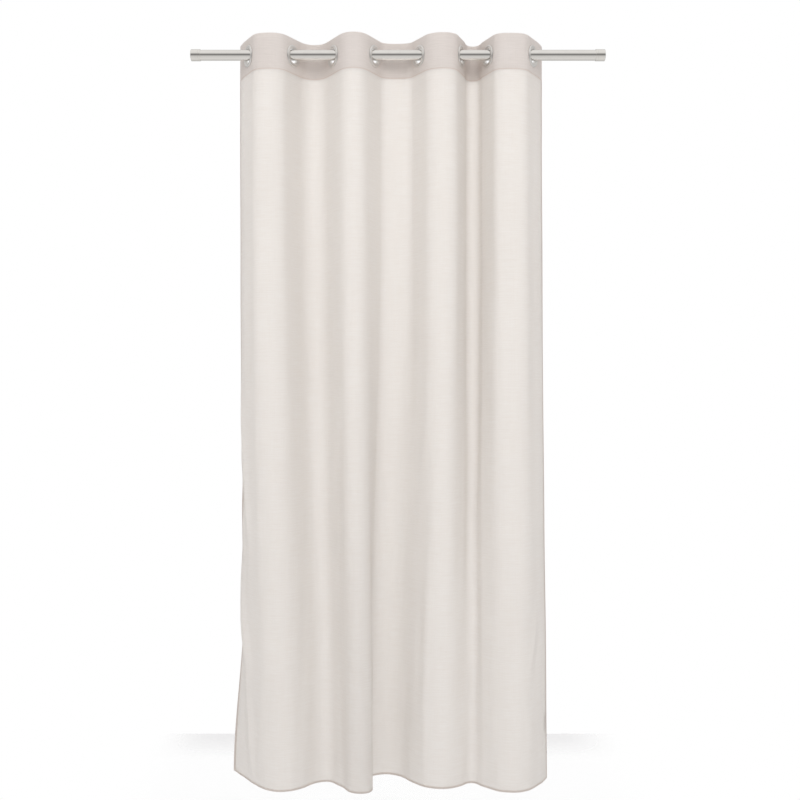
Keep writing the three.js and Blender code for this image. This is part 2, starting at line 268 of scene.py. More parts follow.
bpy.context.scene.view_settings.view_transform = "Standard"
makeCamera()
makeLights()
makeWorld()
makeFloor()
print("camera, lights and floor are in place")


# node groups that several finishes share

def newGroup(name, ins, outs):
    group = bpy.data.node_groups.new(name, "ShaderNodeTree")
    for label, kind, value in ins:
        socket = group.interface.new_socket(label, in_out="INPUT", socket_type=kind)
        if value is not None:
            socket.default_value = value
    for label, kind in outs:
        group.interface.new_socket(label, in_out="OUTPUT", socket_type=kind)
    start = group.nodes.new("NodeGroupInput")
    end = group.nodes.new("NodeGroupOutput")
    return group, start, end


def scaledNoise(tree, vector, scale, detail, roughness=0.55, rotation=0.0):
    mapping = tree.nodes.new("ShaderNodeMapping")
    mapping.inputs["Scale"].default_value = scale
    mapping.inputs["Rotation"].default_value = (0, 0, rotation)
    tree.links.new(vector, mapping.inputs["Vector"])
    texture = tree.nodes.new("ShaderNodeTexNoise")
    texture.inputs["Scale"].default_value = 1.0
    texture.inputs["Detail"].default_value = detail
    texture.inputs["Roughness"].default_value = roughness
    tree.links.new(mapping.outputs[0], texture.inputs["Vector"])
    return texture.outputs["Fac"]


# plain weave on the cloth's own coordinates in metres: threads both ways,
# with thick slubs that run across
def buildWeaveGroup():
    group, start, end = newGroup(
        "weaveThreads",
        [
            ("Vector", "NodeSocketVector", None),
            ("Thread Pitch", "NodeSocketFloat", 0.0011),
            ("Slub", "NodeSocketFloat", 0.5),
        ],
        [("Height", "NodeSocketFloat"), ("Slub Mask", "NodeSocketFloat"), ("Cloud", "NodeSocketFloat")],
    )
    vector = start.outputs["Vector"]
    split = group.nodes.new("ShaderNodeSeparateXYZ")
    group.links.new(vector, split.inputs[0])
    turns = mathNode(group, "DIVIDE", 2 * math.pi, start.outputs["Thread Pitch"])
    across = mathNode(group, "SINE", mathNode(group, "MULTIPLY", split.outputs["X"], turns))
    down = mathNode(group, "SINE", mathNode(group, "MULTIPLY", split.outputs["Y"], turns))
    weave = mathNode(group, "MULTIPLY", across, down)
    longSlubs = scaledNoise(group, vector, (16, 330, 1), 3.0, 0.6)
    shortSlubs = scaledNoise(group, vector, (60, 800, 1), 2.0, 0.5)
    warpSlubs = scaledNoise(group, vector, (420, 9, 1), 2.0, 0.5)
    crosswise = mathNode(group, "MULTIPLY_ADD", shortSlubs, 0.5, mathNode(group, "MULTIPLY", longSlubs, 0.9))
    both = mathNode(group, "MULTIPLY_ADD", warpSlubs, 0.35, crosswise)
    mask = group.nodes.new("ShaderNodeMapRange")
    mask.inputs["From Min"].default_value = 0.68
    mask.inputs["From Max"].default_value = 1.08
    group.links.new(both, mask.inputs["Value"])
    slub = mathNode(group, "MULTIPLY", mask.outputs[0], start.outputs["Slub"])
    height = mathNode(group, "MULTIPLY_ADD", weave, 0.25, slub)
    cloud = scaledNoise(group, vector, (7, 4, 1), 3.0, 0.5)
    group.links.new(height, end.inputs["Height"])
    group.links.new(slub, end.inputs["Slub Mask"])
    group.links.new(cloud, end.inputs["Cloud"])
    return group


# faint drawn lines and handling marks on polished metal
def buildPolishGroup():
    group, start, end = newGroup(
        "polishMarks",
        [
            ("Vector", "NodeSocketVector", None),
            ("Base Roughness", "NodeSocketFloat", 0.08),
            ("Marks", "NodeSocketFloat", 0.06),
        ],
        [("Roughness", "NodeSocketFloat"), ("Height", "NodeSocketFloat"), ("Stain", "NodeSocketFloat")],
    )
    vector = start.outputs["Vector"]
    lines = scaledNoise(group, vector, (900, 40, 40), 2.0, 0.5)
    smudge = scaledNoise(group, vector, (26, 60, 60), 4.0, 0.6)
    spread = group.nodes.new("ShaderNodeMapRange")
    spread.inputs["From Min"].default_value = 0.45
    spread.inputs["From Max"].default_value = 0.75
    group.links.new(smudge, spread.inputs["Value"])
    marks, base = start.outputs["Marks"], start.outputs["Base Roughness"]
    rough = mathNode(group, "MULTIPLY_ADD", spread.outputs[0], marks, base)
    group.links.new(rough, end.inputs["Roughness"])
    group.links.new(lines, end.inputs["Height"])
    group.links.new(spread.outputs[0], end.inputs["Stain"])
    return group


weaveThreads = buildWeaveGroup()
polishMarks = buildPolishGroup()


def placeGroup(tree, group, **values):
    node = tree.nodes.new("ShaderNodeGroup")
    node.node_tree = group
    for label, value in values.items():
        node.inputs[label.replace("_", " ")].default_value = value
    return node


def addBump(tree, shader, height, strength, distance):
    bump = tree.nodes.new("ShaderNodeBump")
    bump.inputs["Strength"].default_value = strength
    bump.inputs["Distance"].default_value = distance
    tree.links.new(height, bump.inputs["Height"])
    tree.links.new(bump.outputs[0], shader.inputs["Normal"])


# the sheet's cut, and how it hangs
panel = {
    "width": 1.400,
    "drop": 2.134,
    "header": 0.103,
    "ringPitch": 0.176,
    "seat": 31.5 * mm,  # flat this far each side of a ring
    "hemSeat": 4 * mm,
    "columns": 252,
    "headerRows": 28,
    "bodyRows": 142,
    "changeStart": -0.26,
    "changePower": 1.4,
    "edgeTurn": {"top": 12, "lowLeft": 30, "hemLeft": 2, "hemRight": 14},
    "flareStart": -1.56,
    "hole": 25.5 * mm,
}
# the turned hems, and how far the header's seam is above its lower edge
hems = {"side": 13 * mm, "bottom": 6 * mm, "headerSeam": 3 * mm}

clothFinish = {
    "thread": (0.82, 0.79, 0.762),
    "pale": (0.87, 0.85, 0.828),
    "slub": (0.72, 0.655, 0.60),
    "header": (0.89, 0.81, 0.76),
    "headerPale": (0.91, 0.85, 0.81),
    # painted shade: the darker, warmer tone laid on the hems where the doubled cloth lets less light
    # through; the header's seam line uses it too
    "hemmed": (0.72, 0.595, 0.52),
    "through": (0.93, 0.915, 0.895),  # light that comes through from behind
    "sheer": 0.48,  # the share of light let through
    "headerSheer": 0.2,
    # how strongly that painted shade goes on the hems
    "hemShadeTint": 0.4,
    "seamTint": 0.55,
}


def slubbed(tree, weave, first, second, amount):
    body = mixColor(tree, weave.outputs["Cloud"], first, second)
    share = mathNode(tree, "MULTIPLY", weave.outputs["Slub Mask"], amount)
    return mixColor(tree, share, body, clothFinish["slub"])


# where the sheet lies over a second layer: the header band and the turned hems
def doubledCloth(tree, uv, weave, body):
    split = tree.nodes.new("ShaderNodeSeparateXYZ")
    tree.links.new(uv, split.inputs[0])
    offset = mathNode(tree, "SUBTRACT", split.outputs["X"], panel["width"] / 2)
    fromMiddle = mathNode(tree, "ABSOLUTE", offset)
    # at the turned hems the sheet gets painted shade, a darker, warmer tint where the doubled cloth lets
    # less light through
    atSide = mathNode(tree, "GREATER_THAN", fromMiddle, panel["width"] / 2 - hems["side"])
    atHem = mathNode(tree, "GREATER_THAN", split.outputs["Y"], panel["drop"] - hems["bottom"])
    hemmed = mathNode(tree, "MULTIPLY", mathNode(tree, "MAXIMUM", atSide, atHem), clothFinish["hemShadeTint"])
    body = mixColor(tree, hemmed, body, clothFinish["hemmed"])
    inHeader = mathNode(tree, "LESS_THAN", split.outputs["Y"], panel["header"])
    upper = slubbed(tree, weave, clothFinish["header"], clothFinish["headerPale"], 0.6)
    # the drawn-in line of the seam along the foot of the header
    seamAt = panel["header"] - hems["headerSeam"]
    onSeam = mathNode(tree, "COMPARE", split.outputs["Y"], seamAt, 1.4 * mm)
    seamShare = mathNode(tree, "MULTIPLY", onSeam, clothFinish["seamTint"])
    upper = mixColor(tree, seamShare, upper, clothFinish["hemmed"])
    return mixColor(tree, inHeader, body, upper), inHeader


# a slubbed plain weave, with this share of the light let through
def makeClothMaterial(name, threadColor, sheer=0.0, doubled=False):
    material, tree, shader = newMaterial(name)
    uv = tree.nodes.new("ShaderNodeUVMap")
    uv.uv_map = "clothMetres"
    weave = placeGroup(tree, weaveThreads, Thread_Pitch=0.0011, Slub=0.6)
    tree.links.new(uv.outputs[0], weave.inputs["Vector"])
    body = slubbed(tree, weave, threadColor, clothFinish["pale"], 0.8)
    if doubled:
        body, inHeader = doubledCloth(tree, uv.outputs[0], weave, body)
    tree.links.new(body, shader.inputs["Base Color"])
    rough = mathNode(tree, "MULTIPLY_ADD", weave.outputs["Slub Mask"], -0.12, 0.92)
    tree.links.new(rough, shader.inputs["Roughness"])
    shader.inputs["Specular IOR Level"].default_value = 0.2
    addBump(tree, shader, weave.outputs["Height"], 0.35, 0.0004)
    if sheer:
        through = tree.nodes.new("ShaderNodeBsdfTranslucent")
        through.inputs["Color"].default_value = (*clothFinish["through"], 1)
        both = tree.nodes.new("ShaderNodeMixShader")
        both.inputs[0].default_value = sheer
        if doubled:
            lost = sheer - clothFinish["headerSheer"]
            share = mathNode(tree, "MULTIPLY_ADD", inHeader, -lost, sheer)
            tree.links.new(share, both.inputs[0])
        tree.links.new(shader.outputs[0], both.inputs[1])
        tree.links.new(through.outputs[0], both.inputs[2])
        tree.links.new(both.outputs[0], tree.nodes["Material Output"].inputs["Surface"])
    return material


metalFinish = {
    "rod": {"color": (0.84, 0.825, 0.805), "rough": 0.035, "marks": 0.03},
    "cap": {"color": (0.84, 0.825, 0.80), "rough": 0.05, "marks": 0.04},
    "ring": {"color": (0.84, 0.83, 0.815), "rough": 0.3, "marks": 0.07},
}


def makeMetalMaterial(name, setup):
    material, tree, shader = newMaterial(name)
    coord = tree.nodes.new("ShaderNodeTexCoord")
    marks = placeGroup(tree, polishMarks, Base_Roughness=setup["rough"], Marks=setup["marks"])
    tree.links.new(coord.outputs["Object"], marks.inputs["Vector"])
    dulled = tuple(0.9 * c for c in setup["color"])
    color = mixColor(tree, mathNode(tree, "MULTIPLY", marks.outputs["Stain"], 0.5), setup["color"], dulled)
    tree.links.new(color, shader.inputs["Base Color"])
    tree.links.new(marks.outputs["Roughness"], shader.inputs["Roughness"])
    shader.inputs["Metallic"].default_value = 1
    addBump(tree, shader, marks.outputs["Height"], 0.04, 0.0002)
    return material


nylonFinish = {"dark": (0.055, 0.056, 0.06), "worn": (0.12, 0.12, 0.125)}


def makeNylonMaterial():
    material, tree, shader = newMaterial("greyNylon")
    coord = tree.nodes.new("ShaderNodeTexCoord")
    grain = scaledNoise(tree, coord.outputs["Object"], (700, 700, 700), 3.0)
    scuff = scaledNoise(tree, coord.outputs["Object"], (90, 160, 160), 3.0)
    color = mixColor(tree, scuff, nylonFinish["dark"], nylonFinish["worn"])
    tree.links.new(color, shader.inputs["Base Color"])
    rough = mathNode(tree, "MULTIPLY_ADD", scuff, 0.2, 0.45)
    tree.links.new(rough, shader.inputs["Roughness"])
    addBump(tree, shader, grain, 0.3, 0.0002)
    return material


finishes = {
    "cloth": makeClothMaterial("slubbedSheer", clothFinish["thread"], clothFinish["sheer"], True),
    "hem": makeClothMaterial("turnedHem", (0.74, 0.67, 0.62), clothFinish["sheer"]),
    "tape": makeClothMaterial("headerTapeWeave", (0.84, 0.80, 0.77), clothFinish["sheer"]),
    "satin": makeClothMaterial("labelSatin", (0.90, 0.89, 0.87), clothFinish["sheer"]),
    "thread": makeClothMaterial("sewingThread", (0.70, 0.62, 0.56)),
    "rod": makeMetalMaterial("polishedTube", metalFinish["rod"]),
    "cap": makeMetalMaterial("polishedCap", metalFinish["cap"]),
    "ring": makeMetalMaterial("chromedRing", metalFinish["ring"]),
    "nylon": makeNylonMaterial(),
}
print("finishes are ready:", len(finishes))


# places and sizes come from the frame

def boxOf(names):
    corners = [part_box(name) for name in names]
    low = Vector([min(c[0][k] for c in corners) for k in range(3)])
    high = Vector([max(c[1][k] for c in corners) for k in range(3)])
    return low, high


def middleOf(names):
    low, high = boxOf(names)
    return (low + high) / 2


ringCount = 8
ringCentres = [middleOf([f"eyelet_front_{i}", f"eyelet_back_{i}"]) for i in range(1, ringCount + 1)]
rodLow, rodHigh = boxOf(["rod_tube"])
rodRadius = (rodHigh.z - rodLow.z) / 2
capLow, capHigh = boxOf(["end_cap_left", "end_cap_right"])
clothLow, clothHigh = boxOf(["curtain_cloth"])
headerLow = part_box("header_facing")[0].z


# helpers for making meshes

def link(name, mesh, material):
    thing = bpy.data.objects.new(name, mesh)
    bpy.context.collection.objects.link(thing)
    mesh.materials.append(material)
    return thing


def smooth(mesh, degrees):
    mesh.polygons.foreach_set("use_smooth", [True] * len(mesh.polygons))
    mesh.set_sharp_from_angle(angle=math.radians(degrees))


# a turned piece: its closed profile, (radius, height) pairs, spun about an axis
def turned(name, profile, sides, matrix, material, degrees=28):
    points = []
    for radius, height in profile:
        for k in range(sides):
            turn = 2 * math.pi * k / sides
            points.append(matrix @ Vector((radius * math.cos(turn), radius * math.sin(turn), height)))
    faces = []
    count = len(profile)
    for i in range(count):
        j = (i + 1) % count
        for k in range(sides):
            n = (k + 1) % sides
            faces.append((i * sides + k, i * sides + n, j * sides + n, j * sides + k))
    mesh = bpy.data.meshes.new(name)
    mesh.from_pydata(points, [], faces)
    mesh.update()
    if signedVolume(mesh) < 0:
        mesh.flip_normals()
    smooth(mesh, degrees)
    return link(name, mesh, material)


def signedVolume(mesh):
    total = 0.0
    for polygon in mesh.polygons:
        corners = [mesh.vertices[i].co for i in polygon.vertices]
        for k in range(1, len(corners) - 1):
            total += corners[0].dot(corners[k].cross(corners[k + 1]))
    return total / 6


# points round a corner or a crown, as part of an ellipse
def arc(centre, across, up, start, end, steps):
    found = []
    for k in range(steps + 1):
        turn = math.radians(start + (end - start) * k / steps)
        found.append((centre[0] + across * math.cos(turn), centre[1] + up * math.sin(turn)))
    return found


# the rod, its caps and their inserts

rodPiece = {"sides": 160, "wall": 1.2 * mm, "chamfer": 0.35 * mm}
capPiece = {
    "sides": 160,
    "wall": 4 * mm,
    "flat": 12 * mm,
    "rim": 2.4 * mm,
    "spigot": 4 * mm,
    "spigotLength": 12 * mm,
    "groove": 0.35 * mm,
    "grooveAt": 21.5 * mm,
    "lip": 0.6 * mm,
}
insertPiece = {"sides": 64, "ribs": 3, "ribDepth": 0.9 * mm, "slack": 0.3 * mm}


def alongRod(x, side):
    return Matrix.Translation((x, 0, 0)) @ Matrix.Rotation(side * math.pi / 2, 4, "Y")


def makeRod():
    half = rodHigh.x
    bore = rodRadius - rodPiece["wall"]
    edge = rodPiece["chamfer"]
    profile = [
        (bore, -half),
        (rodRadius - edge, -half),
        (rodRadius, -half + edge),
        (rodRadius, half - edge),
        (rodRadius - edge, half),
        (bore, half),
    ]
    rod = turned("rodTube", profile, rodPiece["sides"], alongRod(0, 1), finishes["rod"])
    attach(rod, "rod")
    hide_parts("rod_tube")


# heights count back from the cap's outer face
def capProfile():
    low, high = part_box("end_cap_right")
    radius = (high.z - low.z) / 2
    length = high.x - low.x
    bore = rodRadius + 0.3 * mm
    rim = capPiece["rim"]
    wall = capPiece["wall"]
    groove = capPiece["groove"]
    at = capPiece["grooveAt"]
    tiny = 0.02 * mm
    profile = [(tiny, -wall - capPiece["spigotLength"])]
    profile += [(capPiece["spigot"], -wall - capPiece["spigotLength"]), (capPiece["spigot"], -wall)]
    profile += [(bore, -wall), (bore, -length + 0.3 * mm), (bore + 0.3 * mm, -length)]
    profile += [(radius - capPiece["lip"], -length)]
    profile += arc((radius - capPiece["lip"], -length + 1.2 * mm), capPiece["lip"], 1.2 * mm, -90, 0, 5)[1:]
    profile += [(radius, -at - groove), (radius - groove, -at), (radius, -at + groove)]
    profile += arc((radius - rim, -rim), rim, rim * 0.75, 0, 70, 8)
    profile += [(capPiece["flat"], 0), (tiny, 0)]
    return profile


def makeCaps():
    for side, name, body in ((-1, "left", "left_cap"), (1, "right", "right_cap")):
        place = alongRod(side * capHigh.x, side)
        cap = turned("endCap" + name.capitalize(), capProfile(), capPiece["sides"], place, finishes["cap"])
        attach(cap, body)
        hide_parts("end_cap_" + name)
        insertName = "capInsert" + name.capitalize()
        insert = turned(insertName, insertProfile(), insertPiece["sides"], place, finishes["nylon"])
        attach(insert, body)
        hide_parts("cap_insert_" + name)


def insertProfile():
    low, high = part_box("cap_insert_right")
    outer = (high.z - low.z) / 2
    start = capHigh.x - high.x
    length = high.x - low.x
    bore = capPiece["spigot"] + insertPiece["slack"]
    pitch = length / insertPiece["ribs"]
    valley = outer - insertPiece["ribDepth"]
    profile = [(bore, -start)]
    for k in range(insertPiece["ribs"]):
        near = start + pitch * k
        profile += [(outer - 0.25 * mm, -near), (outer, -near - 0.3 * mm), (outer, -near - pitch * 0.42)]
        profile += [(valley, -near - pitch * 0.58), (valley, -near - pitch * 0.97)]
    profile += [(valley - 0.5 * mm, -start - length), (bore, -start - length)]
    return profile


makeRod()
makeCaps()
print("rod, caps and inserts are made")


# eyelet rings, in two halves each

ringPiece = {
    "sides": 96,
    "bore": 20.5 * mm,
    "barrel": 22.2 * mm,
    "radius": 31 * mm,
    "face": 1.85 * mm,  # where a flange meets the cloth
    "crown": 5 * mm,
    "crownAt": 27.8 * mm,
    "dip": 24.6 * mm,
}


# the flange is a rounded rim with a shallow dish inside it, down to the bore
def flangeProfile(inner):
    face = ringPiece["face"]
    radius = ringPiece["radius"]
    crown = ringPiece["crown"]
    at = ringPiece["crownAt"]
    profile = [(inner, face), (radius - 0.3 * mm, face)]
    profile += arc((at, face + 0.5 * mm), radius - at, crown - face - 0.5 * mm, 0, 90, 10)
    profile += arc((at, crown - 0.9 * mm), -(at - ringPiece["dip"]), 0.9 * mm, 90, 0, 6)[1:]
    dish = ringPiece["dip"] - inner - 1.4 * mm
    profile += arc((inner + 1.1 * mm, face + 1.5 * mm), dish, 0.75 * mm, 20, 90, 3)
    profile += arc((inner + 1.1 * mm, face + 1.25 * mm), -1.1 * mm, 1.0 * mm, 90, 0, 5)[1:]
    return profile


def frontRingProfile():
    end = -ringPiece["face"] - 1.6 * mm
    bore, barrel = ringPiece["bore"], ringPiece["barrel"]
    return [(bore, end), (barrel, end), (barrel, ringPiece["face"]), *flangeProfile(bore)[1:]]


def backRingProfile():
    return [(radius, -height) for radius, height in flangeProfile(ringPiece["barrel"] + 0.3 * mm)]


# the cloth's angle to the rod at each ring
crossingAngles = [math.radians(degrees) for degrees in (62, 61, 60, 62, 60, 70, 67, 61)]


def atRing(i):
    angle = -crossingAngles[i] if i % 2 == 0 else crossingAngles[i]
    facing = Vector((math.sin(angle), -math.cos(angle), 0))
    turn = facing.to_track_quat("Z", "Y").to_matrix().to_4x4()
    return Matrix.Translation(ringCentres[i]) @ turn


def makeRings():
    for i in range(ringCount):
        body = "curtain" if i == 0 else f"eyelet_{i + 1}"
        for half, profile in (("Front", frontRingProfile()), ("Back", backRingProfile())):
            ring = turned(f"eyelet{half}{i + 1}", profile, ringPiece["sides"], atRing(i), finishes["ring"])
            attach(ring, body)
            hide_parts(f"eyelet_{half.lower()}_{i + 1}")


makeRings()
print("eyelets are made:", ringCount)


# the line of the cloth, seen from above

sideMargin = (panel["width"] - panel["ringPitch"] * (ringCount - 1)) / 2
top = clothHigh.z
bottom = top - panel["drop"]

# each crossing between a front and a back fold at the hem: its place along and
# across, the cloth's angle there, and the cloth used since the one before
hemCrossings = [
    (-0.405, 0.000, 56, 0.150),
    (-0.256, -0.010, 50, 0.192),
    (-0.164, -0.012, 54, 0.124),
    (-0.084, 0.012, 104, 0.192),
    (0.058, 0.002, 46, 0.242),
    (0.174, -0.012, 44, 0.134),
    (0.248, -0.020, 44, 0.102),
    (0.393, -0.016, 58, 0.176),
]


def mix(a, b, share):
    return a + (b - a) * share


def smoothStep(x):
    x = min(1.0, max(0.0, x))
    return x * x * (3 - 2 * x)


def foldChange(z):
    share = smoothStep((panel["changeStart"] - z) / (panel["changeStart"] - bottom))
    return share ** panel["changePower"]


def heading(angle):
    return np.array((math.cos(angle), math.sin(angle)))


foldSolver = {"steps": 40, "rounds": 16, "nudge": 1e-5, "largestChange": 0.3}
foldTurns = math.pi * (np.arange(foldSolver["steps"]) + 0.5) / foldSolver["steps"]


# a line of this length whose heading swings from one angle to the other;
# bulge makes the fold fuller and lean tips it to one side
def swungLine(a, leaving, arriving, cloth, bulge, lean):
    swing = leaving + (arriving - leaving) * (1 - np.cos(foldTurns)) / 2
    headings = swing + bulge * np.sin(2 * foldTurns) + lean * np.sin(foldTurns)
    steps = np.stack((np.cos(headings), np.sin(headings)), axis=1) * cloth / len(headings)
    return np.vstack((a, a + np.cumsum(steps, axis=0)))


# one fold between two crossings that uses just this much cloth
def foldLine(a, leaving, b, arriving, cloth):
    nudge = foldSolver["nudge"]
    limit = foldSolver["largestChange"]
    shape = np.array((math.copysign(limit, leaving), 0.0))
    for _ in range(foldSolver["rounds"]):
        miss = swungLine(a, leaving, arriving, cloth, *shape)[-1] - b
        slopes = []
        for change in ((nudge, 0), (0, nudge)):
            moved = swungLine(a, leaving, arriving, cloth, *(shape + change))[-1] - b
            slopes.append((moved - miss) / nudge)
        shape -= np.clip(np.linalg.solve(np.array(slopes).T, miss), -limit, limit)
    return swungLine(a, leaving, arriving, cloth, *shape)


def edgeLine(start, angle, turn, cloth):
    steps = 12
    points = [start]
    for k in range(steps):
        points.append(points[-1] + heading(angle + turn * (k + 0.5) / steps) * cloth / steps)
    return np.array(points)


def lineAt(z):
    change = foldChange(z)
    seat = mix(panel["seat"], panel["hemSeat"], change)
    turns = panel["edgeTurn"]
    stations = []
    used = 0.0
    for i, (x, y, degrees, cloth) in enumerate(hemCrossings):
        used += cloth
        side = -1 if i % 2 == 0 else 1
        angle = side * mix(crossingAngles[i], math.radians(degrees), change)
        place = np.array((mix(ringCentres[i].x, x, change), mix(0.0, y, change)))
        along = mix(sideMargin + panel["ringPitch"] * i, used, change)
        stations.append((place, angle, along))
    flare = smoothStep((panel["flareStart"] - z) / (panel["flareStart"] - bottom))
    place, angle, along = stations[0]
    left = edgeLine(
        place - heading(angle) * seat,
        angle + math.pi,
        -math.radians(mix(mix(turns["top"], turns["lowLeft"], change), turns["hemLeft"], flare)),
        along - seat,
    )
    parts = [left[::-1]]
    for (a, angleA, alongA), (b, angleB, alongB) in zip(stations, stations[1:]):
        start = a + heading(angleA) * seat
        end = b - heading(angleB) * seat
        parts.append(foldLine(start, angleA, end, angleB, alongB - alongA - 2 * seat))
    place, angle, along = stations[-1]
    parts.append(edgeLine(
        place + heading(angle) * seat,
        angle,
        math.radians(mix(turns["top"], turns["hemRight"], change)),
        panel["width"] - along - seat,
    ))
    points = np.concatenate(parts)
    steps = np.linalg.norm(np.diff(points, axis=0), axis=1)
    keep = np.concatenate(([True], steps > 1e-7))
    points = points[keep]
    steps = np.linalg.norm(np.diff(points, axis=0), axis=1)
    return points, np.concatenate(([0.0], np.cumsum(steps)))


lineCache = {}


def cachedLine(z):
    key = round(min(z, headerLow), 4)
    if key not in lineCache:
        lineCache[key] = lineAt(key)
    return lineCache[key]


# soft ridges and creases: start and end as (distance along, height), half
# width, and how far the cloth stands forward of its fold there
softCreases = [
    ((0.030, -1.02), (0.085, -1.33), 0.016, 7.0 * mm),
    ((0.020, -1.50), (0.095, -1.72), 0.017, 9.5 * mm),
    ((0.060, -1.62), (0.120, -1.98), 0.020, 7.5 * mm),
    ((0.010, -1.24), (0.060, -1.46), 0.013, -5.0 * mm),
    ((1.322, -1.62), (1.280, -1.74), 0.010, 3.2 * mm),
    ((1.328, -1.70), (1.285, -1.83), 0.009, -2.8 * mm),
    ((1.316, -1.54), (1.284, -1.63), 0.009, -2.2 * mm),
    ((0.630, -1.72), (0.655, -2.06), 0.012, 4.0 * mm),
    ((0.560, -1.60), (0.585, -2.02), 0.014, -3.0 * mm),
    ((0.905, -1.55), (0.925, -2.03), 0.016, 3.2 * mm),
    ((1.075, -1.40), (1.060, -1.95), 0.018, 3.0 * mm),
]


def creaseRelief(s, z):
    total = 0.0
    for (s0, z0), (s1, z1), half, amount in softCreases:
        ds, dz = s1 - s0, z1 - z0
        share = ((s - s0) * ds + (z - z0) * dz) / (ds * ds + dz * dz)
        if share < -0.4 or share > 1.4:
            continue
        away = math.hypot(s - s0 - ds * share, z - z0 - dz * share) / half
        if away < 3.2:
            fade = smoothStep((share + 0.4) / 0.55) * smoothStep((1.4 - share) / 0.55)
            total += amount * fade * math.exp(-away * away)
    return total


waver = {"broad": 3.0 * mm, "fine": 1.5 * mm, "header": 0.5 * mm, "hemFlute": 1.6 * mm}


# long soft unevenness that grows down the drop
def reliefAt(s, z):
    down = (top - z) / panel["drop"]
    grow = smoothStep((headerLow - z) / 0.5)
    broad = noise.noise(Vector((s * 9.0, z * 1.3, 4.7))) * waver["broad"] * grow * (0.4 + 0.8 * down)
    fine = noise.noise(Vector((s * 26.0, z * 3.1, 9.2))) * waver["fine"] * grow * (0.5 + 0.7 * down)
    nearHem = smoothStep((bottom + 0.16 - z) / 0.16)
    flute = noise.noise(Vector((s * 30.0, 2.0, 1.1))) * waver["hemFlute"] * nearHem
    stiff = noise.noise(Vector((s * 22.0, z * 16.0, 6.3))) * waver["header"] * (1 - grow) * awayFromRings(s)
    return broad + fine + flute + stiff + creaseRelief(s, z)


def awayFromRings(s):
    nearest = min(abs(s - sideMargin - panel["ringPitch"] * i) for i in range(ringCount))
    return smoothStep((nearest - panel["seat"]) / 0.02)


# a point of the cloth, this far forward of its middle layer
def clothPoint(s, z, depth, relief=None):
    points, along = cachedLine(z)
    i = int(np.clip(np.searchsorted(along, s), 1, len(along) - 1))
    step = points[i] - points[i - 1]
    size = along[i] - along[i - 1]
    share = (s - along[i - 1]) / size
    facing = np.array((step[1], -step[0])) / size
    if relief is None:
        relief = reliefAt(s, z)
    at = points[i - 1] + step * share + facing * (depth + relief)
    return Vector((at[0], at[1], z))


# a closed slab of cloth on a grid of distances and heights: front and back
# skins, holes at the rings where asked, and walls round every open edge
def clothSlab(name, stops, heights, front, back, material, holes=False):
    wide = len(stops)
    places = [[s, z] for z in heights for s in stops]
    cells = []
    rim = {}
    for r in range(len(heights) - 1):
        for c in range(wide - 1):
            i = r * wide + c
            corners = (i, i + wide, i + wide + 1, i + 1)
            ring = ringOver(places, corners) if holes else None
            if ring is None:
                cells.append(corners)
            else:
                rim.update({corner: ring for corner in corners})
    used = {corner for cell in cells for corner in cell}
    for corner, ring in rim.items():
        if corner in used:
            pullToHole(places[corner], ring)
    index = {corner: k for k, corner in enumerate(sorted(used))}
    count = len(index)
    points = []
    for depth in (front, back):
        points += [clothPoint(places[corner][0], places[corner][1], depth) for corner in index]
    faces = []
    edges = {}
    for cell in cells:
        loop = [index[corner] for corner in cell]
        faces.append(loop)
        faces.append([k + count for k in reversed(loop)])
        for a, b in zip(loop, loop[1:] + loop[:1]):
            if (b, a) in edges:
                del edges[(b, a)]
            else:
                edges[(a, b)] = True
    faces += [(b, a, a + count, b + count) for a, b in edges]
    mesh = bpy.data.meshes.new(name)
    mesh.from_pydata(points, [], faces)
    metres = mesh.uv_layers.new(name="clothMetres")
    flat = [(places[corner][0], top - places[corner][1]) for corner in index] * 2
    vertices = np.empty(len(mesh.loops), np.int32)
    mesh.loops.foreach_get("vertex_index", vertices)
    metres.data.foreach_set("uv", np.array(flat, np.float32)[vertices].ravel())
    mesh.update()
    smooth(mesh, 50)
    return link(name, mesh, material)


def ringOver(places, corners):
    s = sum(places[k][0] for k in corners) / 4
    z = sum(places[k][1] for k in corners) / 4
    for i in range(ringCount):
        away = math.hypot(s - sideMargin - panel["ringPitch"] * i, z - ringCentres[i].z)
        if away < panel["hole"]:
            return i
    return None


def pullToHole(place, ring):
    centre = (sideMargin + panel["ringPitch"] * ring, ringCentres[ring].z)
    ds, dz = place[0] - centre[0], place[1] - centre[1]
    size = math.hypot(ds, dz)
    place[0] = centre[0] + ds / size * panel["hole"]
    place[1] = centre[1] + dz / size * panel["hole"]


def spread(start, end, count):
    return [mix(start, end, k / count) for k in range(count + 1)]


def onCurtain(piece, *nodes, slot="curtain_fabric"):
    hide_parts(*nodes)
    gatherWithCurtain(piece)


# the piece is attached to the curtain's body and gets a mesh of its own
def gatherWithCurtain(piece):
    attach(piece, "curtain")
    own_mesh(piece)


layers = {
    "front": 1.45 * mm,
    "frontInner": 0.85 * mm,
    "tape": 0.35 * mm,
    "rearInner": -0.85 * mm,
    "rear": -1.45 * mm,
    "hemFront": 0.70 * mm,
    "hemBack": 0.05 * mm,
    "label": -0.25 * mm,
    "labelBack": -0.55 * mm,
}
label = {"width": 30 * mm, "height": 52 * mm, "aboveHem": 0.14, "fromEdge": 2 * mm}


def makePanel():
    stops = spread(0, panel["width"], panel["columns"])
    heights = spread(top, headerLow, panel["headerRows"])[:-1]
    heights += spread(headerLow, bottom, panel["bodyRows"])
    front, back = layers["front"], layers["frontInner"]
    sheet = clothSlab("curtainPanel", stops, heights, front, back, finishes["cloth"], True)
    onCurtain(sheet, "curtain_cloth")
    return sheet


